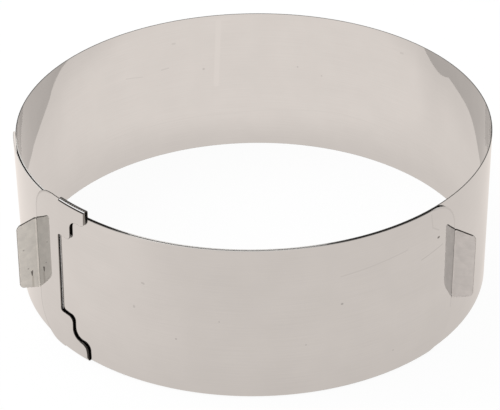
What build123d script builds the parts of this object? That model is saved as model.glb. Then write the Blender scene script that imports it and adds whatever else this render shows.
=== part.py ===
from build123d import *
import os
from math import cos, degrees, radians, sin, tan

# Adjustable cake ring, set to about 24 cm. Millimetres, +Z up.
# The origin is the centre of the ring, in the plane that the ring stands on.
# The clasp is on the -Y side. An angle round the ring is counted in degrees from
# straight ahead (-Y) and grows towards +X, which is to the right as seen from -Y.

# Strip
sheet = 0.5
band_height = 85.0
ring_inner_radius = 122.0

# Clearances
slide_gap = 0.3
edge_gap = 0.3
overrun = 1.0
cut_reach = 3.0

# Places round the ring, as angles
clasp_end_angle = -60.5
free_end_angle = 52.0
hidden_end_angle = -92.0
seam_angle = -56.0

# Ends of the strip
seam_width = 0.5
end_corner_radius = 18.0

# Clasp plate: a stepped window leaves a horn above and below it, and its upright edges lean
clasp_rise = 4.5
clasp_stand_off = 0.6
clasp_lean_angle = 2.6
back_run = 20.9
step_run = 9.6
horn_run = 11.1
horn_width = 9.4
step_rise = 12.0
slit_corner_radius = 1.5
nose_radius = 3.0
hollow_radius = 5.0
tip_corner_radius = 4.0

# Folds of the clasp plate over the edges of the strip
fold_run = 18.6
fold_radius = 0.5
lip_depth = 11.0

# Grips: each stands on the straight middle of its end, in from the round corners
left_grip_shoulder = 5.5
right_grip_shoulder = 6.5
grip_leg = 9.8
grip_taper_angle = 15.0
grip_corner_radius = 3.0
grip_bend_radius = 0.8
left_grip_bend_angle = 90.0
right_grip_bend_angle = 69.0

# Layers of the strip, from the inside of the ring outwards
hoop_outer_radius = ring_inner_radius + sheet
lip_outer_radius = hoop_outer_radius + sheet
slider_inner_radius = lip_outer_radius + slide_gap
slider_outer_radius = slider_inner_radius + sheet
clasp_inner_radius = slider_outer_radius + clasp_stand_off
clasp_outer_radius = clasp_inner_radius + sheet

# The sliding strip passes above the lower fold, and its rim is level with the hoop's
slider_bottom = sheet + edge_gap

# Clasp and grips, from the height of the strip
clasp_height = band_height + clasp_rise
clasp_middle = clasp_height / 2
horn_gap_height = clasp_height - 2 * horn_width
slit_height = horn_gap_height - 2 * step_rise
straight_height = clasp_height - 2 * end_corner_radius
left_grip_height = straight_height - 2 * left_grip_shoulder
right_grip_height = straight_height - 2 * right_grip_shoulder
clasp_lean = tan(radians(clasp_lean_angle))
horn_lean = clasp_lean * (clasp_middle - horn_width / 2)


def angle_of(run, radius):
    """Angle in degrees that a length along the strip takes at a radius."""
    return degrees(run / radius)


window_angle = clasp_end_angle + angle_of(back_run + step_run, clasp_outer_radius)


def horn_angles(side):
    """Angles where a horn's fold starts and where its tip ends; side is 1 above and -1 below."""
    tip = window_angle + angle_of(horn_run + side * horn_lean, clasp_outer_radius)
    return tip - angle_of(fold_run, clasp_outer_radius), tip


def at_angle(angle):
    """Place at an angle round the ring: X points out of the ring and Y along the strip."""
    return Rot(0, 0, angle - 90)


def bent_sheet(inner, outer, bottom, top, turn):
    """Upright sheet bent round the Z axis, from the X axis through an angle."""
    profile = Plane.XZ * Pos(inner, bottom) * Rectangle(outer - inner, top - bottom, align=Align.MIN)
    return revolve(profile, Axis.Z, turn)


def ring_sheet(inner, outer, bottom, top, start, end):
    """Upright sheet round the ring between two angles."""
    return at_angle(start) * bent_sheet(inner, outer, bottom, top, end - start)


def facing_plane(angle, radius):
    """Plane that faces out of the ring: its X runs along the strip and its Y is up."""
    out = Vector(sin(radians(angle)), -cos(radians(angle)), 0)
    along = Vector(cos(radians(angle)), sin(radians(angle)), 0)
    return Plane(origin=out * radius, x_dir=along, z_dir=out)


def cut_outline(strip, outline, angle, inner, outer):
    """Cuts a flat outline through a layer of the ring, square to the ring at an angle."""
    return strip - extrude(facing_plane(angle, inner - cut_reach) * outline, outer - inner + 2 * cut_reach)


def corner_waste(radius, height, along, up):
    """What a round corner takes off: along and up, each 1 or -1, point into the strip."""
    spill = radius + overrun
    square = Rectangle(spill, spill, align=Align.MIN)
    disc = Pos(spill, spill) * Circle(radius)
    waste = Pos(-overrun, -overrun) * (square - disc)
    turned = {(1, 1): 0, (-1, 1): 90, (-1, -1): 180, (1, -1): 270}[(along, up)]
    return Pos(0, height) * Rot(0, 0, turned) * waste


def make_hoop_strip():
    """Strip bent into the ring that holds the cake, open at a fine seam behind the clasp."""
    half_seam = angle_of(seam_width, ring_inner_radius) / 2
    return ring_sheet(ring_inner_radius, hoop_outer_radius, 0, band_height,
                      seam_angle + half_seam, seam_angle + 360 - half_seam)


def make_sliding_strip():
    """Loose end of the strip, which runs through the clasp and round the outside of the hoop."""
    layer = (slider_inner_radius, slider_outer_radius)
    strip = ring_sheet(*layer, slider_bottom, band_height, hidden_end_angle, free_end_angle)
    for height, up in ((slider_bottom, 1), (band_height, -1)):
        for angle, along in ((free_end_angle, -1), (hidden_end_angle, 1)):
            strip = cut_outline(strip, corner_waste(end_corner_radius, height, along, up), angle, *layer)
    return strip


def leaning(points):
    """Points of the clasp's outline, with Y from its middle height, moved along by the lean."""
    return [(x + y * clasp_lean, y) for x, y in points]


def clasp_end_waste():
    """What the clasp's free end leaves of the sheet: a leaning edge between two round corners."""
    half = clasp_height / 2
    far = 2 * end_corner_radius
    edge = leaning([(0, -half), (0, half)])
    end = make_face(Polyline(edge[0], (far, -half), (far, half), edge[1], close=True))
    end = fillet(end.vertices().filter_by(lambda corner: corner.X < end_corner_radius), end_corner_radius)
    spare = edge[1][0] + overrun
    return Pos(-spare, 0) * Rectangle(far, clasp_height + overrun, align=(Align.MIN, Align.CENTER)) - end


def clasp_window():
    """Stepped window between the two horns; its X starts at the slit and its Y at mid height."""
    tip = step_run + horn_run + 2 * horn_lean + overrun
    upper = [(0, slit_height / 2), (step_run, slit_height / 2),
             (step_run, horn_gap_height / 2), (tip, horn_gap_height / 2)]
    lower = [(x, -y) for x, y in reversed(upper)]
    window = make_face(Polyline(*leaning(upper + lower), close=True))
    rounds = ((0, slit_height, slit_corner_radius), (step_run, slit_height, nose_radius),
              (step_run, horn_gap_height, hollow_radius))
    for x, height, radius in rounds:
        corners = window.vertices().filter_by(
            lambda corner: abs(corner.X - corner.Y * clasp_lean - x) < sheet
            and abs(abs(corner.Y) - height / 2) < sheet)
        window = fillet(corners, radius)
    return window


def upper_fold(start, tip):
    """Fold of the clasp plate over the strip's upper edge, ending in a lip on the hoop's face."""
    root = clasp_height - 2 * sheet - fold_radius
    low = clasp_height - lip_depth
    under = clasp_height - sheet
    section = make_face(Polyline(
        (hoop_outer_radius, low), (hoop_outer_radius, clasp_height),
        (clasp_outer_radius, clasp_height), (clasp_outer_radius, root),
        (clasp_inner_radius, root), (clasp_inner_radius, under),
        (lip_outer_radius, under), (lip_outer_radius, low), close=True))
    outer_corners = section.vertices().filter_by(lambda corner: corner.Y > clasp_height - sheet / 2)
    section = fillet(outer_corners, fold_radius + sheet)
    inner_corners = section.vertices().filter_by(
        lambda corner: abs(corner.Y - under) < sheet / 5
        and lip_outer_radius - sheet / 5 < corner.X < clasp_inner_radius + sheet / 5)
    section = fillet(inner_corners, fold_radius)
    return at_angle(start) * revolve(Plane.XZ * section, Axis.Z, tip - start)


def make_clasp_plate():
    """End plate that stands over the strip and holds both of its edges in folded channels."""
    layer = (clasp_inner_radius, clasp_outer_radius)
    sheet_start = clasp_end_angle - angle_of(clasp_middle * clasp_lean, clasp_outer_radius)
    plate = ring_sheet(*layer, 0, clasp_middle, sheet_start, horn_angles(-1)[1])
    plate += ring_sheet(*layer, clasp_middle, clasp_height, sheet_start, horn_angles(1)[1])
    plate = cut_outline(plate, Pos(0, clasp_middle) * clasp_end_waste(), clasp_end_angle, *layer)
    plate = cut_outline(plate, Pos(-step_run, clasp_middle) * clasp_window(), window_angle, *layer)
    mid_plane = Plane.XY.offset(clasp_middle)
    for side in (1, -1):
        start, tip = horn_angles(side)
        horn_edge = clasp_middle + side * horn_gap_height / 2
        plate = cut_outline(plate, corner_waste(tip_corner_radius, horn_edge, -1, side), tip, *layer)
        fold_room = ring_sheet(clasp_inner_radius - overrun, clasp_outer_radius + overrun,
                               clasp_height - 2 * sheet - fold_radius, clasp_height + overrun, start, tip + overrun)
        fold = upper_fold(start, tip)
        if side < 0:
            fold_room = mirror(fold_room, mid_plane)
            fold = mirror(fold, mid_plane)
        plate = plate - fold_room + fold
    return plate


def make_grip(layer_outer_radius, bend_angle, grip_height):
    """Finger grip bent outwards from the end of a layer; X points out of the ring, Y past the end."""
    bend_centre = layer_outer_radius + grip_bend_radius
    low = clasp_middle - grip_height / 2
    bend = Pos(bend_centre, 0) * Rot(0, 0, 180 - bend_angle) * bent_sheet(
        grip_bend_radius, grip_bend_radius + sheet, low, low + grip_height, bend_angle)
    taper = grip_leg * tan(radians(grip_taper_angle))
    base = grip_height / 2
    outline = make_face(Polyline((0, -base), (grip_leg, taper - base), (grip_leg, base - taper), (0, base), close=True))
    outer_corners = outline.vertices().filter_by(lambda corner: corner.X > grip_leg / 2)
    outline = fillet(outer_corners, grip_corner_radius)
    away = Vector(-cos(radians(bend_angle)), sin(radians(bend_angle)), 0)
    leg_direction = Vector(sin(radians(bend_angle)), cos(radians(bend_angle)), 0)
    start = Vector(bend_centre, 0, clasp_middle) + away * grip_bend_radius
    leg = extrude(Plane(origin=start, x_dir=leg_direction, z_dir=away) * outline, sheet)
    return bend + leg


def make_left_grip():
    """Grip on the free end of the clasp plate."""
    grip = mirror(make_grip(clasp_outer_radius, left_grip_bend_angle, left_grip_height), Plane.XZ)
    lean = Pos(0, 0, clasp_middle) * Rot(-clasp_lean_angle, 0, 0) * Pos(0, 0, -clasp_middle)
    return at_angle(clasp_end_angle) * lean * grip


def make_right_grip():
    """Grip on the free end of the sliding strip."""
    return at_angle(free_end_angle) * make_grip(slider_outer_radius, right_grip_bend_angle, right_grip_height)


pieces = {
    "hoop_strip": make_hoop_strip,
    "clasp_plate": make_clasp_plate,
    "left_grip": make_left_grip,
    "sliding_strip": make_sliding_strip,
    "right_grip": make_right_grip,
}

os.makedirs("parts", exist_ok=True)
for name, make_piece in pieces.items():
    piece = make_piece()
    export_step(piece, f"parts/{name}.step")
    print(name, "solids", len(piece.solids()), "volume", round(piece.volume, 1))
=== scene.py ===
# %% [markdown]
# # An adjustable cake ring in polished steel
#
# The real object is one long strip of thin stainless sheet, bent round into a
# ring. Its two ends overlap at the front. The outer end slides through a clasp
# that is folded from the sheet itself, and each end has a small finger grip.
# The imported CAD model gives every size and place, so it is loaded first.

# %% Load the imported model
import math

import bmesh
import bpy
from mathutils import Matrix, Vector


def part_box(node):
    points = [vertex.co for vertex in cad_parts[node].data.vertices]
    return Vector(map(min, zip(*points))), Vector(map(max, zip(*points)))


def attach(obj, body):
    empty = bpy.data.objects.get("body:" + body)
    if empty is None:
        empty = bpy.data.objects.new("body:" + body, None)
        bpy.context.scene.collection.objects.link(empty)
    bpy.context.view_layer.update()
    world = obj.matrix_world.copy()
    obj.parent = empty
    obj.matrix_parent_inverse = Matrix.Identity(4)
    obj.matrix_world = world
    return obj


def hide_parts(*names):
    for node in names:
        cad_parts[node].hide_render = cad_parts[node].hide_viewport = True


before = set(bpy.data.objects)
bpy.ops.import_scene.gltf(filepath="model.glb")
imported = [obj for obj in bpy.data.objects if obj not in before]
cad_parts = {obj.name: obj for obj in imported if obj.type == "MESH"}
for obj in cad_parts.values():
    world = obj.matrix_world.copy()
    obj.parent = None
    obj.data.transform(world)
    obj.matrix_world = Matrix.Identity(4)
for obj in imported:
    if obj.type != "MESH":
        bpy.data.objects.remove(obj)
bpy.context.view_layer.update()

# %% [markdown]
# ## The sizes of the sheet metal
#
# A new piece has to lie exactly where its CAD node lies. A node's box gives its
# place, but not its corners and folds, so the sizes of the CAD model are
# repeated here in metres. Angles round the ring are counted from straight ahead
# (-Y) and grow towards +X. The layers of the strip are told apart by their
# inner radius.

# %% Sizes, in metres and degrees
MM = 0.001
SHEET = 0.5 * MM
BAND_HEIGHT = 85.0 * MM
CLASP_HEIGHT = 89.5 * MM

HOOP_RADIUS = 122.0 * MM
SLIDER_RADIUS = 123.3 * MM
CLASP_RADIUS = 124.4 * MM

CLASP_END = -60.5  # the clasp plate's free end
FREE_END = 52.0  # the sliding strip's end at the front
HIDDEN_END = -92.0  # its other end, past the clasp
SEAM = -56.0  # where the two ends of the hoop meet


def turn_at(radius, run):
    """Angle in radians that a length along the strip takes at a radius."""
    return run / radius


def run_at(radius, turn):
    """Length along the strip, at a radius, of an angle in degrees."""
    return radius * math.radians(turn)


print("the strip round the hoop is", round(run_at(HOOP_RADIUS, 360) / MM), "mm long")

# %% [markdown]
# ## The camera
#
# The photograph looks down at the ring from the front, from about a metre
# away. The camera could be placed by eye, but one fitted to the four outlines
# of rim and foot gives the distance, the height and the focal length at once.
# It is made before anything else, because every later choice is judged
# through it.

# %% Camera at the photograph's angle
PHOTO_WIDTH = 500
FOCAL_PIXELS = 1980.6
SENSOR_WIDTH = 36.0
camera_data = bpy.data.cameras.new("photo_camera")
camera_data.sensor_width = SENSOR_WIDTH
camera_data.lens = SENSOR_WIDTH * FOCAL_PIXELS / PHOTO_WIDTH

CAMERA_TARGET = Vector((-2.5 * MM, 0, 33.04 * MM))
CAMERA_DISTANCE = 1050.0 * MM
CAMERA_ELEVATION = math.radians(32.02)
CAMERA_ROLL = math.radians(0.75)
back_to_camera = Vector((0, -math.cos(CAMERA_ELEVATION), math.sin(CAMERA_ELEVATION)))

camera = bpy.data.objects.new("photo_camera", camera_data)
bpy.context.scene.collection.objects.link(camera)
tilt = Matrix.Rotation(math.radians(90) - CAMERA_ELEVATION, 4, "X")
roll = Matrix.Rotation(-CAMERA_ROLL, 4, "Z")
place = Matrix.Translation(CAMERA_TARGET + CAMERA_DISTANCE * back_to_camera)
camera.matrix_world = place @ tilt @ roll
bpy.context.scene.camera = camera
print("camera stands at", [round(x, 3) for x in camera.matrix_world.translation])

# %% [markdown]
# ## Working in flat sheet, then bending it
#
# A sheet-metal shop cuts a flat blank, folds its tabs on a press brake and then
# rolls it round. The pieces could be cut from a tube, but round corners, a
# window and folds are simple only in the flat, so the shop's way is taken. In
# the flat, X runs along the strip, Z is up and Y is the thickness, which grows
# out of the ring. Corners are rounded with a vertex bevel, the blank gets its
# thickness from an extrusion, and slices across it let it bend smoothly. Each
# vertex is then moved round the Z axis. The flat coordinates are kept as a UV
# map, so that the rolling marks and scratches follow the strip as they do on
# real sheet.

# %% Blank: an outline, its round corners and its thickness
CORNER_STEPS = 10


def only(kind, geom):
    """The vertices, edges or faces among what an operator gives back."""
    return [item for item in geom if isinstance(item, kind)]


def cut_blank(corners, steps=CORNER_STEPS):
    """Flat sheet in a new bmesh from corners (x, z, corner radius), in order round it."""
    bm = bmesh.new()
    verts = [bm.verts.new((x, 0, z)) for x, z, _ in corners]
    bm.faces.new(verts)
    rounds = []
    for i, (_, _, radius) in enumerate(corners):
        before = verts[i - 1].co - verts[i].co
        after = verts[(i + 1) % len(verts)].co - verts[i].co
        if radius > 0:
            rounds.append((verts[i], radius / math.tan(before.angle(after) / 2)))
    for vert, start_of_round in rounds:
        bmesh.ops.bevel(bm, geom=[vert], offset=start_of_round, segments=steps, profile=0.5,
                        affect="VERTICES", material=-1)
    grown = bmesh.ops.extrude_face_region(bm, geom=bm.faces[:])
    bmesh.ops.translate(bm, vec=(0, SHEET, 0), verts=only(bmesh.types.BMVert, grown["geom"]))
    bmesh.ops.recalc_face_normals(bm, faces=bm.faces[:])
    return bm


# %% Cut edges: named, then eased as tumbling does
SHEET_SLOT = 0
EDGE_SLOT = 1
OUTER_SLOT = 2  # on the hoop
PRESSED_SLOT = 2  # on the clasp
FACES_IT = 0.5  # a face looks along an axis if its normal has more of it than this
EDGE_EASE = 0.12 * MM


def name_cut_edges(bm):
    """Gives the faces along the cut outline the slot of the sheared edge."""
    for face in bm.faces:
        face.normal_update()
        face.material_index = EDGE_SLOT if abs(face.normal.y) < FACES_IT else SHEET_SLOT


def ease_cut_edges(bm, slits=()):
    """Takes the sharpness off the outline, but not inside closed slits at these places along X."""
    def in_slit(edge):
        return any(all(abs(v.co.x - x) < EDGE_EASE / 10 for v in edge.verts) for x in slits)

    arrises = [e for e in bm.edges if len(e.link_faces) == 2 and not in_slit(e)
               and sum(face.material_index == EDGE_SLOT for face in e.link_faces) == 1]
    bmesh.ops.bevel(bm, geom=arrises, offset=EDGE_EASE, segments=2, profile=0.5,
                    affect="EDGES", material=EDGE_SLOT)


# %% Slices across the sheet, and its bend round the ring
SLICE = 1.5  # degrees of the ring between two slices
CUT_REACH = 1e-7  # a slice runs through vertices that are nearer than this
UV_NAME = "flat_sheet"


def slice_across(bm, radius):
    """Cuts the flat sheet across its length every degree or two, so that it can bend."""
    step = run_at(radius, SLICE)
    low = min(v.co.x for v in bm.verts)
    high = max(v.co.x for v in bm.verts)
    for i in range(math.ceil(low / step), math.floor(high / step) + 1):
        if low + EDGE_EASE < i * step < high - EDGE_EASE:
            bmesh.ops.bisect_plane(bm, geom=bm.verts[:] + bm.edges[:] + bm.faces[:],
                                   plane_co=(i * step, 0, 0), plane_no=(1, 0, 0), dist=CUT_REACH)


def keep_flat_coordinates(bm):
    """Stores where each corner lies on the flat sheet, in metres, as a UV map."""
    layer = bm.loops.layers.uv.new(UV_NAME)
    for face in bm.faces:
        for loop in face.loops:
            loop[layer].uv = (loop.vert.co.x, loop.vert.co.z - loop.vert.co.y)


def bend_round(bm, radius, start, pitch_radius):
    """Bends the flat sheet round the Z axis: Y = 0 goes to a radius and X = 0 to an angle."""
    for vert in bm.verts:
        angle = math.radians(start) + turn_at(pitch_radius, vert.co.x)
        out = radius + vert.co.y
        vert.co = (out * math.sin(angle), -out * math.cos(angle), vert.co.z)


# %% From a bmesh to a finished object
CRISP_FROM = math.radians(40)


def finish_mesh(bm, name, finishes):
    """Makes an object of the bmesh, with crisp cut edges and smooth bent sheet."""
    bmesh.ops.recalc_face_normals(bm, faces=bm.faces[:])
    for face in bm.faces:
        face.smooth = True
    for edge in bm.edges:
        mixed = len({face.material_index for face in edge.link_faces}) > 1
        edge.smooth = not mixed and edge.calc_face_angle(0) < CRISP_FROM
    mesh = bpy.data.meshes.new(name)
    bm.to_mesh(mesh)
    bm.free()
    piece = bpy.data.objects.new(name, mesh)
    bpy.context.scene.collection.objects.link(piece)
    for finish in finishes:
        mesh.materials.append(finish)
    print(name, len(mesh.vertices), "vertices", len(mesh.polygons), "faces")
    return piece


# %% [markdown]
# ## Materials
#
# Everything is one sheet: cold-rolled stainless steel, rolled bright, so it
# reflects almost like a mirror. What gives real sheet away are faint streaks
# along the rolling direction, soft smudges from handling, slow waves that bend
# the reflections, and a few hairline scratches and dots. The steel is a neutral
# grey, and the photograph's warm tint comes from the floor that it mirrors. The
# cut edges are sheared and dull, and are coloured dark, a painted shade that
# reads as thin dark lines; in bands along the rims they are painted lighter, a
# painted highlight, partly where two layers have rubbed them. Scratches could
# come from a noise texture, but then they would lie anywhere, so each is drawn as
# a line between two places on the flat sheet. Colours are written as sRGB hex
# values, and one function turns them to the linear numbers that Blender works
# with.

# %% Colour and node helpers


def linear(hex_colour):
    """Linear RGBA of an sRGB hex colour such as D5CFC9."""
    shares = [int(hex_colour[i:i + 2], 16) / 255 for i in (0, 2, 4)]
    return [s / 12.92 if s <= 0.04045 else ((s + 0.055) / 1.055) ** 2.4 for s in shares] + [1.0]


def add_node(tree, kind, inputs=None, **settings):
    """Adds a node, sets its options, and fills its sockets with values or other outputs."""
    node = tree.nodes.new(kind)
    for name, value in settings.items():
        setattr(node, name, value)
    for socket, value in (inputs or {}).items():
        if isinstance(value, bpy.types.NodeSocket):
            tree.links.new(value, node.inputs[socket])
        else:
            node.inputs[socket].default_value = value
    return node


def new_material(name):
    """Empty node material with its tree."""
    material = bpy.data.materials.new(name)
    material.use_nodes = True
    material.node_tree.nodes.clear()
    print("material", name)
    return material, material.node_tree


# %% A tool for thin marks: scratches, creases and rubbed lines
MARK_CORE = 0.4  # share of a mark's half width that is fully covered


def mark_tool():
    """Node group: 1 along a line between two places on the flat sheet, 0 past its half width."""
    group = bpy.data.node_groups.new("thin_mark", "ShaderNodeTree")
    for name, kind in (("Flat", "NodeSocketVector"), ("From", "NodeSocketVector"),
                       ("To", "NodeSocketVector"), ("Width", "NodeSocketFloat")):
        group.interface.new_socket(name, in_out="INPUT", socket_type=kind)
    group.interface.new_socket("Mark", in_out="OUTPUT", socket_type="NodeSocketFloat")
    given = add_node(group, "NodeGroupInput").outputs
    here = add_node(group, "ShaderNodeVectorMath", {0: given["Flat"], 1: given["From"]},
                    operation="SUBTRACT").outputs[0]
    line = add_node(group, "ShaderNodeVectorMath", {0: given["To"], 1: given["From"]},
                    operation="SUBTRACT").outputs[0]
    along = add_node(group, "ShaderNodeVectorMath", {0: here, 1: line}, operation="DOT_PRODUCT")
    length = add_node(group, "ShaderNodeVectorMath", {0: line, 1: line}, operation="DOT_PRODUCT")
    share = add_node(group, "ShaderNodeMath", {0: along.outputs[1], 1: length.outputs[1]},
                     operation="DIVIDE", use_clamp=True)
    nearest = add_node(group, "ShaderNodeVectorMath", {0: line, "Scale": share.outputs[0]},
                       operation="SCALE")
    gap = add_node(group, "ShaderNodeVectorMath", {0: here, 1: nearest.outputs[0]},
                   operation="DISTANCE")
    core = add_node(group, "ShaderNodeMath", {0: given["Width"], 1: MARK_CORE},
                    operation="MULTIPLY")
    mark = add_node(group, "ShaderNodeMapRange", {
        "Value": gap.outputs[1], "From Min": core.outputs[0], "From Max": given["Width"],
        "To Min": 1.0, "To Max": 0.0}, interpolation_type="SMOOTHSTEP")
    add_node(group, "NodeGroupOutput", {"Mark": mark.outputs["Result"]})
    return group


THIN_MARK = mark_tool()
print("the mark tool has", len(THIN_MARK.nodes), "nodes")

# %% Placing marks on the sheet


def thin_mark(tree, flat, start, end, width):
    """How much of a mark lies at a place; start, end and half width are in mm on the sheet."""
    mark = add_node(tree, "ShaderNodeGroup", node_tree=THIN_MARK)
    tree.links.new(flat, mark.inputs["Flat"])
    mark.inputs["From"].default_value = (start[0] * MM, start[1] * MM, 0)
    mark.inputs["To"].default_value = (end[0] * MM, end[1] * MM, 0)
    mark.inputs["Width"].default_value = width * MM
    return mark.outputs["Mark"]


def draw_marks(tree, flat, colour, marks):
    """Lays marks over a colour; each is a start, an end, a half width and a hex colour."""
    for start, end, width, mark_colour in marks:
        colour = add_node(tree, "ShaderNodeMix", {
            "Factor": thin_mark(tree, flat, start, end, width), "A": colour,
            "B": linear(mark_colour)}, data_type="RGBA").outputs["Result"]
    return colour


def arc_marks(middle, radius, start, end, width, colour, pieces=6):
    """Marks along an arc on the flat sheet; angles in degrees, counted from +X towards up."""
    turns = [math.radians(start + (end - start) * i / pieces) for i in range(pieces + 1)]
    places = [(middle[0] + radius * math.cos(t), middle[1] + radius * math.sin(t)) for t in turns]
    return [(a, b, width, colour) for a, b in zip(places, places[1:])]


# %% Helpers for what changes along the sheet
NOISE_RANGE = (0.3, 0.7)  # nearly all values of a noise texture lie between these


def mapped(value, from_min, from_max, to_min, to_max):
    """Inputs of a Map Range node that takes a value from one range to another."""
    return {"Value": value, "From Min": from_min, "From Max": from_max, "To Min": to_min,
            "To Max": to_max}


def shade(tree, colour, noise, low, high):
    """Darkens or lightens a colour a little, as a noise texture goes from low to high."""
    factor = add_node(tree, "ShaderNodeMapRange", mapped(noise, *NOISE_RANGE, low, high))
    return add_node(tree, "ShaderNodeVectorMath", {0: colour, "Scale": factor.outputs["Result"]},
                    operation="SCALE").outputs[0]


# %% The sheet's colour and its rolling streaks
STEEL = "D6D6D6"
FAINT = (0.985, 1.01)  # how dark and how light a faint pattern makes the steel
STREAKS_PER_METRE = (30.0, 2600.0, 0.0)  # 33 mm long and 0.4 mm wide, coarse enough to show


def streaked_colour(tree, flat, steel):
    """The steel's colour with streaks along the strip, so their texture is stretched along X."""
    stretched = add_node(tree, "ShaderNodeVectorMath", {0: flat, 1: STREAKS_PER_METRE},
                         operation="MULTIPLY")
    streaks = add_node(tree, "ShaderNodeTexNoise", {
        "Vector": stretched.outputs[0], "Scale": 1.0, "Detail": 3.0}, noise_dimensions="2D")
    plain = add_node(tree, "ShaderNodeRGB")
    plain.outputs[0].default_value = linear(steel)
    return shade(tree, plain.outputs[0], streaks.outputs[0], *FAINT)


# %% The sheet's slow waves and swells
WAVES_PER_METRE = 12.0  # about 80 mm each
WAVE_HEIGHT = 1.2 * MM


def wavy_normal(tree, flat, swells):
    """Normal of thin sheet, which is never quite flat, so that it bends what it reflects.

    A swell, (from, to, height) in mm, is where the sheet rises slowly from one place along it
    to the next. The heights add up in metres.
    """
    waves = add_node(tree, "ShaderNodeTexNoise", {
        "Vector": flat, "Scale": WAVES_PER_METRE, "Detail": 1.0}, noise_dimensions="2D")
    height = add_node(tree, "ShaderNodeMath", {0: waves.outputs[0], 1: WAVE_HEIGHT},
                      operation="MULTIPLY").outputs[0]
    along = add_node(tree, "ShaderNodeSeparateXYZ", {"Vector": flat}).outputs["X"]
    for start, end, rise in swells:
        swell = add_node(tree, "ShaderNodeMapRange", mapped(
            along, start * MM, end * MM, 0.0, rise * MM), interpolation_type="SMOOTHSTEP")
        height = add_node(tree, "ShaderNodeMath", {0: height, 1: swell.outputs["Result"]},
                          operation="ADD").outputs[0]
    bump = add_node(tree, "ShaderNodeBump", {"Height": height, "Distance": 1.0, "Strength": 1.0})
    return bump.outputs["Normal"]


# %% Bright cold-rolled stainless sheet
ROLLED_ROUGHNESS = 0.02  # rolled between polished rollers: close to a mirror
SMUDGES = (55.0, *FAINT)  # 55 in a metre, so about 18 mm each
SMUDGE_DULLS = 0.03  # how much roughness a smudge adds
RUBBED_ROUGHNESS = 0.7


def rolled_steel(name, steel=STEEL, roughness=ROLLED_ROUGHNESS, smudge=SMUDGES, marks=(),
                 swells=(), rubbed=()):
    """Bright rolled stainless: mirror-like, with streaks, waves, marks and soft smudges.

    smudge says how many there are in a metre, and how dark and how light they make the steel.
    rubbed lists bands, (start, end, half width), that are marks left rough, not coloured.
    """
    material, tree = new_material(name)
    flat = add_node(tree, "ShaderNodeUVMap", uv_map=UV_NAME).outputs["UV"]
    # handling leaves smudges, which are a little duller too
    smudges = add_node(tree, "ShaderNodeTexNoise", {
        "Vector": flat, "Scale": smudge[0], "Detail": 4.0}, noise_dimensions="2D").outputs[0]
    colour = shade(tree, streaked_colour(tree, flat, steel), smudges, *smudge[1:])
    colour = draw_marks(tree, flat, colour, marks)
    dull = add_node(tree, "ShaderNodeMapRange", mapped(
        smudges, *NOISE_RANGE, roughness, roughness + SMUDGE_DULLS)).outputs["Result"]
    for start, end, width in rubbed:
        dull = add_node(tree, "ShaderNodeMix", {
            "Factor": thin_mark(tree, flat, start, end, width), "A": dull,
            "B": RUBBED_ROUGHNESS}).outputs["Result"]
    metal = add_node(tree, "ShaderNodeBsdfPrincipled", {
        "Base Color": colour, "Metallic": 1.0, "Roughness": dull,
        "Normal": wavy_normal(tree, flat, swells)})
    add_node(tree, "ShaderNodeOutputMaterial", {"Surface": metal.outputs["BSDF"]})
    return material


# %% Sheared steel: the cut edges, coloured in painted shade
# painted shade: the cut edges are coloured as dark as they look in shade, with paler lines in it
EDGE_SHADE_DARK = "262422"
EDGE_SHADE_LIGHT = "524E4A"
SHEARED_ROUGHNESS = 0.4
SHEAR_LINES_PER_METRE = 1800.0  # about 0.6 mm each, coarser than real ones so that they show
# a painted highlight on the rims, partly where layers rubbed them bright
EDGE_RUB_AND_HIGHLIGHT = "C8C5C1"


def shaded_sheared_edge(name, bright=(), marks=()):
    """Cut edge of the sheet: sheared and dull, and coloured dark, a painted shade, with fine lines
    across it.

    Bright lists bands where the painted shade is lightened into a painted highlight, partly where
    two layers rub: (from, to, share) in mm along the sheet, and how much brighter it gets from the
    first place to the second.
    """
    material, tree = new_material(name)
    flat = add_node(tree, "ShaderNodeUVMap", uv_map=UV_NAME).outputs["UV"]
    lines = add_node(tree, "ShaderNodeTexNoise", {
        "Vector": flat, "Scale": SHEAR_LINES_PER_METRE, "Detail": 2.0}, noise_dimensions="2D")
    colour = add_node(tree, "ShaderNodeMix", {
        "Factor": lines.outputs[0], "A": linear(EDGE_SHADE_DARK), "B": linear(EDGE_SHADE_LIGHT),
    }, data_type="RGBA").outputs["Result"]
    along = add_node(tree, "ShaderNodeSeparateXYZ", {"Vector": flat}).outputs["X"]
    # bands that lighten the painted shade into a painted highlight
    rubbed = None
    for start, end, share in bright:
        change = add_node(tree, "ShaderNodeMapRange", mapped(
            along, start * MM, end * MM, 0.0, share), interpolation_type="SMOOTHSTEP")
        change = change.outputs["Result"]
        rubbed = change if rubbed is None else add_node(
            tree, "ShaderNodeMath", {0: rubbed, 1: change}, operation="ADD").outputs[0]
    if rubbed is not None:
        colour = add_node(tree, "ShaderNodeMix", {
            "Factor": rubbed, "A": colour, "B": linear(EDGE_RUB_AND_HIGHLIGHT),
        }, data_type="RGBA").outputs["Result"]
    colour = draw_marks(tree, flat, colour, marks)
    metal = add_node(tree, "ShaderNodeBsdfPrincipled", {
        "Base Color": colour, "Metallic": 1.0, "Roughness": SHEARED_ROUGHNESS})
    add_node(tree, "ShaderNodeOutputMaterial", {"Surface": metal.outputs["BSDF"]})
    return material


# %% Pressed steel: the top of the folds, in painted shade
# painted shade: the fold's top is coloured as dark as it looks in shade
FOLD_SHADE_DARK = "1E1C1B"
FOLD_SHADE_LIGHT = "66625E"
PRESSED_ROUGHNESS = 0.3
TEETH_SCALE = 200.0  # a wave texture's bands are 2 pi / (20 x scale) apart: 1.6 mm


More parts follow.
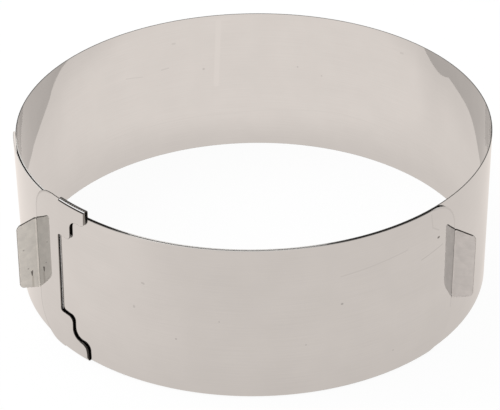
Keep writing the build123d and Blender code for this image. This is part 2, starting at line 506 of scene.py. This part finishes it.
def shaded_fold_top():
    """Inner half of a fold's top: coloured dark as painted shade, with fine teeth across it that
    the press left.
    """
    material, tree = new_material("fold_top_painted_shade")
    flat = add_node(tree, "ShaderNodeUVMap", uv_map=UV_NAME).outputs["UV"]
    teeth = add_node(tree, "ShaderNodeTexWave", {
        "Vector": flat, "Scale": TEETH_SCALE, "Distortion": 1.5, "Detail": 2.0,
        "Detail Scale": 2.0}, bands_direction="X")
    colour = add_node(tree, "ShaderNodeMix", {
        "Factor": teeth.outputs[1], "A": linear(FOLD_SHADE_DARK), "B": linear(FOLD_SHADE_LIGHT),
    }, data_type="RGBA").outputs["Result"]
    metal = add_node(tree, "ShaderNodeBsdfPrincipled", {
        "Base Color": colour, "Metallic": 1.0, "Roughness": PRESSED_ROUGHNESS})
    add_node(tree, "ShaderNodeOutputMaterial", {"Surface": metal.outputs["BSDF"]})
    return material


# %% [markdown]
# ## The hoop strip
#
# The inner layer goes all the way round and holds the cake. A tube would give
# the same ring, but with no seam and no flat coordinates for its marks. So it
# is a plain rectangle in the flat, a hair shorter than the full circle, and its
# two ends meet at a fine seam behind the clasp. Its outside has a finish of its
# own, without the scratches of the inside.

# %% Hoop strip, cut and bent
SEAM_WIDTH = 0.5 * MM
half_seam = math.degrees(turn_at(HOOP_RADIUS, SEAM_WIDTH)) / 2
hoop_length = run_at(HOOP_RADIUS, 360 - 2 * half_seam)
hoop_bm = cut_blank([(0, 0, 0), (hoop_length, 0, 0), (hoop_length, BAND_HEIGHT, 0),
                     (0, BAND_HEIGHT, 0)])
name_cut_edges(hoop_bm)
for face in hoop_bm.faces:
    if face.normal.y > FACES_IT:
        face.material_index = OUTER_SLOT
ease_cut_edges(hoop_bm)
slice_across(hoop_bm, HOOP_RADIUS)
keep_flat_coordinates(hoop_bm)
bend_round(hoop_bm, HOOP_RADIUS, SEAM + half_seam, HOOP_RADIUS)
print("the hoop is", round(hoop_length / MM, 1), "mm long in the flat")

# %% Hoop strip, its finishes
# slow swells at the right and the left, which curve the mirrored edge of the inside
hoop_swells = [(303, 373, 1.5), (373, 401, -0.8), (610, 640, -0.45), (638, 664, 0.25),
               (668, 735, -1.6)]
# just under the rim, the loose end has rubbed the sheet matt, and its pale colour there is partly
# a painted highlight
rubbed_rim = [((57, 84.6), (152, 84.6), 1.0), ((712, 84.6), (766, 84.6), 1.0)]
pale_rim_rub_and_highlight = [(*band, "F2F0EE") for band in rubbed_rim]

hoop_steel = rolled_steel("hoop_rolled_stainless", marks=[
    # a wide soft painted highlight and hairline scratches on the back wall
    ((521.4, 80.7), (523.5, 40.9), 2.2, "D9D9D9"),
    ((578.8, 56.4), (568.1, 54.4), 0.5, "D0D0D0"),
    ((556.0, 55.7), (551.6, 56.0), 0.6, "CDCDCD"),
    ((591.1, 21.1), (514.9, 20.8), 0.5, "D4D4D4"),
    ((514.9, 20.8), (452.5, 25.2), 0.5, "D4D4D4"),
    ((452.5, 25.2), (395.7, 22.1), 0.5, "D4D4D4"),
    # dots
    ((530.7, 51.6), (530.7, 51.6), 1.0, "C4C4C4"),
    ((476.1, 51.9), (476.1, 51.9), 0.7, "C4C4C4"),
    ((461.9, 47.9), (461.9, 47.9), 0.7, "C8C8C8"),
    ((548.7, 70.8), (547.4, 70.8), 0.8, "CBCBCB"),
    ((411.6, 75.5), (410.0, 75.7), 0.8, "CBCBCB"),
    *pale_rim_rub_and_highlight,
], swells=hoop_swells, rubbed=rubbed_rim)
# the rim's painted shade is lightened into a painted highlight in bands, partly where the two
# layers rub, and stays dark between
hoop_edge = shaded_sheared_edge("hoop_sheared_edge", bright=[
    (43, 65, 1.0), (140, 168, -0.9), (705, 712, 0.9)])
hoop_outside = rolled_steel("hoop_outside_rolled_stainless", marks=pale_rim_rub_and_highlight,
                            swells=hoop_swells, rubbed=rubbed_rim)

# %% Hoop strip, finished
hoop_strip = finish_mesh(hoop_bm, "hoop_strip_sheet", [hoop_steel, hoop_edge, hoop_outside])
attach(hoop_strip, "hoop")
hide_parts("hoop_strip")

# %% [markdown]
# ## The sliding strip
#
# The outer layer is the loose end of the strip. It starts past the clasp, runs
# through it and over the front of the hoop, and ends in two large round
# corners, so that the free end doesn't catch. It could be a copy of the hoop
# that is cut short, but its corners and its lower edge differ, so it is cut as
# a blank of its own in the same way.

# %% Sliding strip, cut and bent
SLIDER_BOTTOM = 0.8 * MM
END_CORNER = 18.0 * MM
END_STEPS = 16
slider_length = run_at(SLIDER_RADIUS, FREE_END - HIDDEN_END)
slider_bm = cut_blank([(x, z, END_CORNER) for x, z in (
    (0, SLIDER_BOTTOM), (slider_length, SLIDER_BOTTOM),
    (slider_length, BAND_HEIGHT), (0, BAND_HEIGHT))], END_STEPS)
name_cut_edges(slider_bm)
ease_cut_edges(slider_bm)
slice_across(slider_bm, SLIDER_RADIUS)
keep_flat_coordinates(slider_bm)
bend_round(slider_bm, SLIDER_RADIUS, HIDDEN_END, SLIDER_RADIUS)
print("the loose end is", round(slider_length / MM, 1), "mm long in the flat")

# %% Sliding strip, its finishes
slider_steel = rolled_steel("sliding_rolled_stainless", marks=[
    # hairline scratches beside the right grip
    ((238.5, 65.3), (275.2, 68.8), 0.5, "CFCFCF"),
    ((284.6, 59.0), (299.6, 61.3), 0.5, "CBCBCB"),
    ((290.3, 82.3), (291.7, 74.3), 0.5, "CDCDCD"),
    ((291.7, 74.3), (296.3, 71.0), 0.5, "CDCDCD"),
    # dots
    ((296.0, 66.8), (296.6, 66.8), 0.8, "7E7C7A"),
    ((142.0, 59.2), (142.8, 59.0), 0.8, "C4C4C4"),
    ((136.9, 44.3), (136.9, 43.8), 0.8, "C4C4C4"),
    ((158.6, 30.7), (158.6, 30.7), 0.7, "BEBEBE"),
    ((180.1, 43.9), (180.1, 43.9), 0.6, "C6C6C6"),
    ((239.2, 49.5), (239.4, 49.5), 0.8, "B4B4B4"),
    ((221.5, 29.1), (221.5, 29.1), 0.6, "C4C4C4"),
    ((268.2, 12.7), (268.2, 12.7), 0.6, "C4C4C4"),
    # painted shade: a soft dark line just inside the free end and its upper corner
    ((309.4, 66.5), (309.4, 18.8), 0.5, "CECECE"),
    *arc_marks((291.9, 66.5), 17.5, 90, 0, 0.5, "CBCBCB"),
    # and where it shows in the clasp's slit, it is rubbed matt
], rubbed=[((87.7, 22.0), (89.9, 67.0), 0.8)])
# the rim's painted shade is lightened into a painted highlight in bands, partly where the layers
# rub, and stays dark between
slider_edge = shaded_sheared_edge("sliding_sheared_edge", bright=[
    (-1, 0, 1.0), (85, 95, -0.9), (122, 145, 0.9), (215, 246, -0.9), (288, 295, 0.8)])

# %% Sliding strip, finished
sliding_strip = finish_mesh(slider_bm, "sliding_strip_sheet", [slider_steel, slider_edge])
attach(sliding_strip, "loose_end")
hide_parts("sliding_strip")

# %% [markdown]
# ## The clasp plate
#
# The clasp is the most intricate piece. A stepped window is cut into the end
# plate, which leaves a horn above and below it. The edges of the horns are
# folded inwards over the rim and the foot of the strip, like gutters, and hold
# both layers together while the loose end slides. Gutters could be pieces of
# their own, but then their bend would show a joint. So the folds are made as on
# a press brake: the edge face is spun a quarter turn, pushed on, spun again and
# pushed down into a lip.

# %% Clasp plate in the flat
LEAN = math.tan(math.radians(2.6))
BACK_RUN = 20.9 * MM
STEP_RUN = 9.6 * MM
HORN_RUN = 11.1 * MM
HORN_WIDTH = 9.4 * MM
STEP_RISE = 12.0 * MM
SLIT_CORNER = 1.5 * MM
NOSE_RADIUS = 3.0 * MM
HOLLOW_RADIUS = 5.0 * MM
TIP_CORNER = 4.0 * MM
FOLD_RUN = 18.6 * MM
FOLD_RADIUS = 0.5 * MM
CLASP_MIDDLE = CLASP_HEIGHT / 2

horn_lean = LEAN * (CLASP_MIDDLE - HORN_WIDTH / 2)
bend_rise = FOLD_RADIUS + SHEET


def horn_span(side):
    """Where the fold of a horn starts and where its tip ends; side is 1 above, -1 below."""
    tip = BACK_RUN + STEP_RUN + HORN_RUN + side * horn_lean
    return tip - FOLD_RUN, tip


def half_outline(side):
    """Corners (x, z, radius) from the free end to the slit, for the half above or below."""
    fold_start, tip = horn_span(side)
    step = BACK_RUN + STEP_RUN
    corners = []
    for x, rise, radius, leans in (
            (0, 0, END_CORNER, True),
            (fold_start, 0, 0, False),
            (fold_start, bend_rise, 0, False),
            (tip, bend_rise, 0, False),
            (tip, HORN_WIDTH, TIP_CORNER, False),
            (step, HORN_WIDTH, HOLLOW_RADIUS, True),
            (step, HORN_WIDTH + STEP_RISE, NOSE_RADIUS, True),
            (BACK_RUN, HORN_WIDTH + STEP_RISE, SLIT_CORNER, True)):
        height = side * (CLASP_MIDDLE - rise)
        corners.append((x + LEAN * height if leans else x, CLASP_MIDDLE + height, radius))
    return corners


clasp_bm = cut_blank(half_outline(-1) + half_outline(1)[::-1])
name_cut_edges(clasp_bm)
print("clasp plate is", round(horn_span(1)[1] / MM, 1), "mm long in the flat")

# %% Two helpers for folding


def whole(faces):
    """Faces with their edges and vertices, each once, as a spin needs them."""
    edges = dict.fromkeys(e for f in faces for e in f.edges)
    verts = dict.fromkeys(v for f in faces for v in f.verts)
    return [*faces, *edges, *verts]


def push(bm, geom, vec):
    """Extrudes the end of a fold straight on, and gives back the faces it now ends with."""
    ends = only(bmesh.types.BMFace, geom)
    grown = bmesh.ops.extrude_face_region(bm, geom=ends)["geom"]
    bmesh.ops.translate(bm, vec=vec, verts=only(bmesh.types.BMVert, grown))
    return only(bmesh.types.BMFace, grown)


# %% Folding the edges of the clasp over the strip
LIP_DEPTH = 11.0 * MM
CHANNEL_FLOOR = 0.4 * MM
FOLD_STEPS = 6
STRAIGHT_UP = 0.9  # the normal of the flat blank's edge face has more of Z than this
PRESSED_FROM = 0.75  # the press touches a fold where its normal has more of Z than this


def fold_over(bm, side):
    """Folds the edge of a horn inwards over the strip; side is 1 at the top, -1 at the foot."""
    fold_start, tip = horn_span(side)
    line_z = CLASP_MIDDLE + side * (CLASP_MIDDLE - bend_rise)
    facing = [f for f in bm.faces if f.normal.z * side > STRAIGHT_UP
              and fold_start < f.calc_center_median().x < tip]
    edge_face = min(facing, key=lambda f: abs(f.calc_center_median().z - line_z))
    before = set(bm.faces)
    near = Vector((0, -FOLD_RADIUS, line_z))
    far = Vector((0, -FOLD_RADIUS - CHANNEL_FLOOR, line_z))
    quarter = {"axis": (1, 0, 0), "angle": side * math.radians(90), "steps": FOLD_STEPS}
    first = bmesh.ops.spin(bm, geom=whole([edge_face]), cent=near, **quarter)
    floor_end = push(bm, first["geom_last"], (0, -CHANNEL_FLOOR, 0))
    second = bmesh.ops.spin(bm, geom=whole(floor_end), cent=far, **quarter)
    lip_end = push(bm, second["geom_last"], (0, 0, -side * (LIP_DEPTH - bend_rise)))
    for face in set(bm.faces) - before:
        face.normal_update()
        if face in lip_end or abs(face.normal.x) > FACES_IT:
            face.material_index = EDGE_SLOT
        elif face.normal.z * side > PRESSED_FROM:
            face.material_index = PRESSED_SLOT
        else:
            face.material_index = SHEET_SLOT
    print("folded an edge of", round((tip - fold_start) / MM, 1), "mm")


fold_over(clasp_bm, 1)
fold_over(clasp_bm, -1)
bmesh.ops.recalc_face_normals(clasp_bm, faces=clasp_bm.faces[:])

# %% Bending the clasp plate round
CLASP_PITCH = CLASP_RADIUS + SHEET
ease_cut_edges(clasp_bm, slits=[horn_span(1)[0], horn_span(-1)[0]])
slice_across(clasp_bm, CLASP_PITCH)
keep_flat_coordinates(clasp_bm)
bend_round(clasp_bm, CLASP_RADIUS, CLASP_END, CLASP_PITCH)
print("the clasp has", len(clasp_bm.faces), "faces")

# %% Clasp plate, its finishes
# marks are in mm; the outer face lies a sheet's thickness lower in the flat coordinates
fold_from, fold_to = (x / MM for x in horn_span(1))
fold_z = (CLASP_HEIGHT - bend_rise - SHEET) / MM
crease_z, crown_z = fold_z - 0.1, fold_z + 0.85
clasp_steel = rolled_steel("clasp_rolled_stainless", "D3D3D3", marks=[
    # the upper fold: painted shade along its crease, a painted highlight along its crown, and
    # painted shade at the horn's tip
    ((fold_from, crease_z), (fold_to, crease_z), 0.65, "1E1C1B"),
    ((fold_from, crown_z), (fold_to, crown_z), 0.4, "FFFFFF"),
    ((43.0, 87.0), (42.7, 81.5), 0.9, "7A7876"),
    # painted shadow along the lower end of the window, wide and dark
    ((34.0, 9.0), (37.2, 8.3), 0.8, "2A2826"),
    ((37.2, 8.3), (38.9, 7.0), 1.1, "2A2826"),
    ((38.9, 7.0), (39.6, 4.3), 1.2, "2A2826"),
    ((39.6, 4.3), (39.6, 1.5), 1.2, "2A2826"),
    # painted shade: a soft dark line just inside the free end and its two round corners
    *arc_marks((19.4, 71.0), 17.6, 95, 180, 0.6, "C2C2C2"),
    ((1.8, 71.0), (-0.6, 17.5), 0.6, "C4C4C4"),
    *arc_marks((17.0, 17.5), 17.6, 180, 240, 0.6, "C4C4C4"),
])
# the painted shade of the edges is lighter along the slit, at the upper horn's tip and at the
# start of the lower fold
clasp_edge = shaded_sheared_edge("clasp_sheared_edge", marks=[
    ((19.8, 24.0), (22.0, 66.0), 2.5, "9A9793"),
    ((43.4, 87.0), (43.4, 81.0), 2.5, "9A9793"),
    ((21.2, 1.5), (21.2, -3.0), 1.5, "C8C5C1"),
])

# %% Clasp plate, finished
clasp_plate = finish_mesh(clasp_bm, "clasp_plate_sheet",
                          [clasp_steel, clasp_edge, shaded_fold_top()])
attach(clasp_plate, "hoop")
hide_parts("clasp_plate")

# %% [markdown]
# ## The finger grips
#
# Each end of the strip carries a tapered tab that is bent outwards, and the
# ring is opened or closed by pushing the two tabs. A thin box at an angle would
# do from afar, but the round bend is what catches the light. So a grip starts
# as a flat leg, and its base is spun round the bend until it meets the strip.
# The tabs are handled most, so their steel is scuffed to a fine matt.

# %% Grips: sizes and sheared edge
LEFT_GRIP_HEIGHT = 42.5 * MM
RIGHT_GRIP_HEIGHT = 40.5 * MM
LEFT_GRIP_BEND = 90.0
RIGHT_GRIP_BEND = 69.0
GRIP_LEG = 9.8 * MM
GRIP_TAPER = math.radians(15)
GRIP_CORNER = 3.0 * MM
BEND_RADIUS = 0.8 * MM
BEND_STEPS = 10
GRIP_ROUGHNESS = 0.85
GRIP_SMUDGES = (260.0, 0.95, 1.03)  # about 4 mm each
# the painted shade of the edges is lighter on the outer and the lower edge
grip_edge = shaded_sheared_edge("grip_sheared_edge", marks=[
    ((9.8, 27.0), (9.8, 62.0), 2.0, "9A9793"),
    ((-1.0, 23.8), (9.8, 26.6), 1.6, "B8B5B1"),
])

# %% Grips: leg, bend and place


def bent_tab(height, bend):
    """Flat tapered leg whose base is bent by an angle in degrees; the leg runs along X."""
    half = height / 2
    taper = GRIP_LEG * math.tan(GRIP_TAPER)
    bm = cut_blank([(0, CLASP_MIDDLE - half, 0),
                    (GRIP_LEG, CLASP_MIDDLE - half + taper, GRIP_CORNER),
                    (GRIP_LEG, CLASP_MIDDLE + half - taper, GRIP_CORNER),
                    (0, CLASP_MIDDLE + half, 0)])
    name_cut_edges(bm)
    base = min(bm.faces, key=lambda f: f.calc_center_median().x)
    before = set(bm.faces)
    turned = bmesh.ops.spin(bm, geom=whole([base]), cent=(0, -BEND_RADIUS, 0), axis=(0, 0, 1),
                            angle=math.radians(bend), steps=BEND_STEPS)
    joint = only(bmesh.types.BMFace, turned["geom_last"])
    for face in set(bm.faces) - before:
        face.normal_update()
        cut = face in joint or abs(face.normal.z) > FACES_IT
        face.material_index = EDGE_SLOT if cut else SHEET_SLOT
    bmesh.ops.recalc_face_normals(bm, faces=bm.faces[:])
    ease_cut_edges(bm)
    keep_flat_coordinates(bm)
    return bm


def make_grip(name, layer_radius, end_angle, bend, way, height, lean, steel, marks):
    """Grip on the end of a layer; way is 1 where the strip runs on towards +X, else -1."""
    bm = bent_tab(height, bend)
    # the leg leaves the bend at its own angle: turned so, the base lines up with the strip
    bmesh.ops.rotate(bm, verts=bm.verts[:], cent=(0, -BEND_RADIUS, 0),
                     matrix=Matrix.Rotation(math.radians(-bend), 3, "Z"))
    # x runs past the strip's end and y into the ring; the bend's centre is outside the layer
    angle = math.radians(end_angle)
    radial = Vector((math.sin(angle), -math.cos(angle), 0))
    along = Vector((math.cos(angle), math.sin(angle), 0)) * way
    outer = layer_radius + SHEET
    for vert in bm.verts:
        past, out = vert.co.x, -(vert.co.y + BEND_RADIUS)
        vert.co = (radial * (outer + BEND_RADIUS + out) + along * past
                   + Vector((0, 0, vert.co.z)))
    bmesh.ops.rotate(bm, verts=bm.verts[:], cent=(0, 0, CLASP_MIDDLE),
                     matrix=Matrix.Rotation(-math.atan(lean), 3, radial))
    matt = rolled_steel(name + "_stainless", steel, GRIP_ROUGHNESS, GRIP_SMUDGES, marks)
    return finish_mesh(bm, name, [matt, grip_edge])


# %% Grips, finished and measured against their CAD nodes
left_grip = make_grip(
    "left_grip_tab", CLASP_RADIUS, CLASP_END, LEFT_GRIP_BEND, -1, LEFT_GRIP_HEIGHT, LEAN,
    "E9E7E3", [
        # a small V-shaped dent drawn in painted shade, with a soft streak under it, two dots, a
        # dark upper edge
        ((2.6, 34.5), (2.9, 31.8), 0.4, "85817D"),
        ((3.3, 34.2), (2.9, 31.8), 0.4, "928E8A"),
        ((2.6, 31.0), (2.7, 24.5), 0.8, "DCD9D4"),
        ((6.7, 48.4), (6.9, 48.4), 0.5, "C2BFBA"),
        ((4.7, 36.5), (4.9, 36.4), 0.5, "C2BFBA"),
        ((-1.0, 66.2), (8.0, 63.9), 0.5, "77746F"),
    ])
right_grip = make_grip(
    "right_grip_tab", SLIDER_RADIUS, FREE_END, RIGHT_GRIP_BEND, 1, RIGHT_GRIP_HEIGHT, 0,
    "E2DFDD", [
        # a dark upper edge
        ((-1.0, 65.2), (8.0, 62.9), 0.7, "55524F"),
    ])
for grip, node, body in ((left_grip, "left_grip", "hoop"),
                         (right_grip, "right_grip", "loose_end")):
    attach(grip, body)
    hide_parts(node)
    low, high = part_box(node)
    print(node, "CAD", [round(x / MM, 2) for x in (*low, *high)])
    places = [v.co for v in grip.data.vertices]
    print(node, "new", [round(end(co[i] for co in places) / MM, 2)
                        for end in (min, max) for i in range(3)])

# %% [markdown]
# ## Floor, backdrop and light
#
# The photograph has a pure white ground. Lamps alone would show as hard spots
# in the ring, because a mirror shows its surroundings. So the floor and the
# world are white and do most of the lighting, and one large soft lamp from the
# upper left shades them a little. What the steel mirrors of the floor is
# slightly warm, and carries a painted shadow: it is dimmer at the front right
# and near the ring's foot, as in the photograph.

# %% The floor as the steel mirrors it, with a painted shadow
FRONT_RIGHT = (0.766, -0.643, 0.0)
# each range of the painted shadow: from and to, in metres, and how bright the mirrored floor is at
# both
ACROSS = (-0.06, 0.10, 0.955, 0.855)
INSIDE_RING = (0.08, HOOP_RADIUS, 1.0, 0.87)
OUTSIDE_RING = (HOOP_RADIUS, 0.165, 0.95, 1.0)


def painted_floor_shadow(tree):
    """How bright the floor is for the steel: a painted shadow, dimmer at the front right and at
    the foot.
    """
    at = add_node(tree, "ShaderNodeTexCoord").outputs["Object"]
    right = add_node(tree, "ShaderNodeVectorMath", {0: at, 1: FRONT_RIGHT},
                     operation="DOT_PRODUCT").outputs[1]
    far = add_node(tree, "ShaderNodeVectorMath", {0: at}, operation="LENGTH").outputs[1]
    across, inside, foot = (
        add_node(tree, "ShaderNodeMapRange", mapped(value, *span),
                 interpolation_type="SMOOTHSTEP").outputs["Result"]
        for value, span in ((right, ACROSS), (far, INSIDE_RING), (far, OUTSIDE_RING)))
    outside = add_node(tree, "ShaderNodeMath", {0: across, 1: foot}, operation="MULTIPLY")
    is_outside = add_node(tree, "ShaderNodeMath", {0: far, 1: HOOP_RADIUS},
                          operation="GREATER_THAN")
    return add_node(tree, "ShaderNodeMix", {
        "Factor": is_outside.outputs[0], "A": inside, "B": outside.outputs[0],
    }).outputs["Result"]


# %% The floor's material
FLOOR_SHARE = 0.93  # how much of the floor is plain white for the camera; the rest is lit
FLOOR_WHITE = "FAFAFA"
BOUNCE = "FFF6EF"  # the warm white that the steel mirrors


def white_floor():
    """White floor: seen as white, mirrored as warm white with a painted shadow, and lit a little
    so that a soft shadow stays.
    """
    material, tree = new_material("white_studio_floor")
    material.cycles.emission_sampling = "NONE"
    rays = add_node(tree, "ShaderNodeLightPath").outputs
    seen = add_node(tree, "ShaderNodeMath", {0: rays["Is Camera Ray"], 1: FLOOR_SHARE},
                    operation="MULTIPLY")
    mirrored = add_node(tree, "ShaderNodeMath", {
        0: rays["Is Glossy Ray"], 1: rays["Is Transmission Ray"]}, operation="MAXIMUM").outputs[0]
    share = add_node(tree, "ShaderNodeMath", {0: seen.outputs[0], 1: mirrored},
                     operation="MAXIMUM")
    colour = add_node(tree, "ShaderNodeMix", {
        "Factor": mirrored, "A": linear("FFFFFF"), "B": linear(BOUNCE)}, data_type="RGBA")
    # the mirrored floor's strength carries the painted shadow
    strength = add_node(tree, "ShaderNodeMix", {
        "Factor": mirrored, "A": 1.0, "B": painted_floor_shadow(tree)})
    lit = add_node(tree, "ShaderNodeBsdfDiffuse", {"Color": linear(FLOOR_WHITE)})
    white = add_node(tree, "ShaderNodeEmission", {
        "Color": colour.outputs["Result"], "Strength": strength.outputs["Result"]})
    mixed = add_node(tree, "ShaderNodeMixShader", {
        0: share.outputs[0], 1: lit.outputs[0], 2: white.outputs[0]})
    add_node(tree, "ShaderNodeOutputMaterial", {"Surface": mixed.outputs[0]})
    return material


# %% Floor
FLOOR_SIZE = 6.0
FLOOR_DROP = 0.05 * MM  # a hair below the ring, so that the two don't touch
floor_bm = bmesh.new()
bmesh.ops.create_grid(floor_bm, x_segments=1, y_segments=1, size=FLOOR_SIZE / 2)
bmesh.ops.translate(floor_bm, vec=(0, 0, -FLOOR_DROP), verts=floor_bm.verts[:])
floor_mesh = bpy.data.meshes.new("studio_floor")
floor_bm.to_mesh(floor_mesh)
floor_bm.free()
floor_mesh.materials.append(white_floor())
floor = bpy.data.objects.new("studio_floor", floor_mesh)
bpy.context.scene.collection.objects.link(floor)
print("floor is", FLOOR_SIZE, "m wide")

# %% World
WORLD_STRENGTH = 0.9
world = bpy.data.worlds.new("white_studio")
world.use_nodes = True
sky_tree = world.node_tree
sky_tree.nodes.clear()
rays = add_node(sky_tree, "ShaderNodeLightPath").outputs
seen = add_node(sky_tree, "ShaderNodeMath", {
    0: rays["Is Camera Ray"], 1: rays["Is Glossy Ray"]}, operation="MAXIMUM").outputs[0]
seen = add_node(sky_tree, "ShaderNodeMath", {
    0: seen, 1: rays["Is Transmission Ray"]}, operation="MAXIMUM").outputs[0]
strength = add_node(sky_tree, "ShaderNodeMapRange", {
    "Value": seen, "To Min": WORLD_STRENGTH, "To Max": 1.0}).outputs["Result"]
sky = add_node(sky_tree, "ShaderNodeBackground", {
    "Color": linear("FFFFFF"), "Strength": strength})
add_node(sky_tree, "ShaderNodeOutputWorld", {"Surface": sky.outputs[0]})
bpy.context.scene.world = world
print("the world lights at", WORLD_STRENGTH, "and is seen at 1.0")

# %% Lamp
LAMP_SIZE = 1.2
LAMP_WATTS = 9.0
LAMP_AT = Vector((-1.0, 0.3, 1.2))
lamp_data = bpy.data.lights.new("soft_box", "AREA")
lamp_data.shape = "SQUARE"
lamp_data.size = LAMP_SIZE
lamp_data.energy = LAMP_WATTS
lamp = bpy.data.objects.new("soft_box", lamp_data)
bpy.context.scene.collection.objects.link(lamp)
lamp.matrix_world = (Matrix.Translation(LAMP_AT)
                     @ LAMP_AT.to_track_quat("Z", "Y").to_matrix().to_4x4())
print("lamp hangs", round(LAMP_AT.length, 2), "m away")

# %% [markdown]
# ## Finish
#
# The picture keeps the written colours, so the view transform is Standard.

bpy.context.scene.view_settings.view_transform = "Standard"
